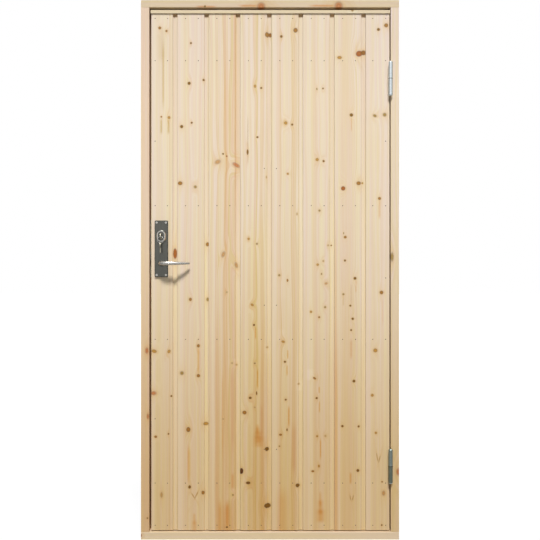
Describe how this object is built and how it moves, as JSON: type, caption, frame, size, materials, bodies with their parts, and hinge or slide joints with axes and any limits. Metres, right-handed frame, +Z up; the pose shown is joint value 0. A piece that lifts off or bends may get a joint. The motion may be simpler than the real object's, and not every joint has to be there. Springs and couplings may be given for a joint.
{
  "type": "barn door",
  "caption": "Boarded pine barn door in its rebated frame, with lift-off hinges, a drip cap, a lever handle on a long plate, a cylinder lock and its key.",
  "frame": {"origin": "Middle of the sill's underside, half way through the frame's depth.", "axes": "+X to the hinge side as seen from the boarded outer face, +Y from the outer face to the back, +Z up."},
  "size_m": [1, 0.168, 2.09],
  "materials": {
    "frame_pine": "planed pine, untreated",
    "board_pine": "planed knotty pine, untreated",
    "framing_pine": "sawn and planed pine, untreated",
    "nail_steel": "dull galvanised nail heads",
    "zinc": "bright zinc plated",
    "bright_steel": "plain bright steel",
    "dark_nickel": "polished dark nickel",
    "satin_nickel": "satin nickel",
    "key_brass": "nickel silver, polished"
  },
  "bodies": {
    "frame": {"head": "frame_pine", "left_jamb": "frame_pine", "right_jamb": "frame_pine", "sill": "frame_pine", "head_stop": "frame_pine", "left_stop": "frame_pine", "right_stop": "frame_pine", "sill_stop": "frame_pine", "corner_screws": "bright_steel", "strike_plate": "zinc", "strike_screws": "bright_steel", "upper_hinge_frame_half": "zinc", "lower_hinge_frame_half": "zinc", "hinge_pins": "zinc", "hinge_washers": "bright_steel", "hinge_frame_screws": "bright_steel"},
    "leaf": {"board_1": "board_pine", "board_2": "board_pine", "board_3": "board_pine", "board_4": "board_pine", "board_5": "board_pine", "board_6": "board_pine", "board_7": "board_pine", "board_8": "board_pine", "lock_stile": "framing_pine", "hinge_stile": "framing_pine", "top_rail": "framing_pine", "upper_mid_rail": "framing_pine", "lower_mid_rail": "framing_pine", "bottom_rail": "framing_pine", "upper_muntin": "framing_pine", "middle_muntin": "framing_pine", "lower_muntin": "framing_pine", "drip_cap": "frame_pine", "panel_nails": "nail_steel", "upper_hinge_door_half": "zinc", "lower_hinge_door_half": "zinc", "hinge_door_screws": "bright_steel", "lock_case": "zinc", "lock_faceplate": "zinc", "faceplate_screws": "bright_steel", "outer_plate": "dark_nickel", "inner_plate": "dark_nickel", "plate_screws": "satin_nickel", "neck_collars": "dark_nickel", "cylinder_ring": "satin_nickel", "cylinder_body": "satin_nickel"},
    "handle": {"outer_lever": "satin_nickel", "inner_lever": "satin_nickel", "spindle": "bright_steel", "spindle_hub": "bright_steel"},
    "latch": {"latch_bolt": "satin_nickel"},
    "key_set": {"cylinder_plug": "key_brass", "tailpiece": "bright_steel", "bolt_cam": "bright_steel", "key": "key_brass", "key_ring": "bright_steel", "spare_key": "key_brass", "thumb_turn": "satin_nickel"},
    "bolt": {"dead_bolt": "satin_nickel"}
  },
  "joints": [
    {"name": "leaf_swing", "type": "hinge", "parent": "frame", "child": "leaf", "pos_m": [0.466, -0.0546, 0], "axis": [0, 0, 1], "range_deg": [0, 170]},
    {"name": "handle_turn", "type": "hinge", "parent": "leaf", "child": "handle", "pos_m": [-0.421, 0, 1.07], "axis": [0, 1, 0], "range_deg": [0, 40], "stiffness_Nm_per_rad": 3, "springref_deg": -8.59},
    {"name": "latch_slide", "type": "slide", "parent": "leaf", "child": "latch", "axis": [1, 0, 0], "range_m": [0, 0.005]},
    {"name": "key_turn", "type": "hinge", "parent": "leaf", "child": "key_set", "pos_m": [-0.421, 0, 1.175], "axis": [0, -1, 0], "range_deg": [0, 90]},
    {"name": "bolt_throw", "type": "slide", "parent": "leaf", "child": "bolt", "axis": [-1, 0, 0], "range_m": [0, 0.0201]}
  ],
  "couplings": [
    {"joint": "latch_slide", "follows": "handle_turn", "m_per_rad": 0.00716},
    {"joint": "bolt_throw", "follows": "key_turn", "m_per_rad": 0.012732}
  ]
}
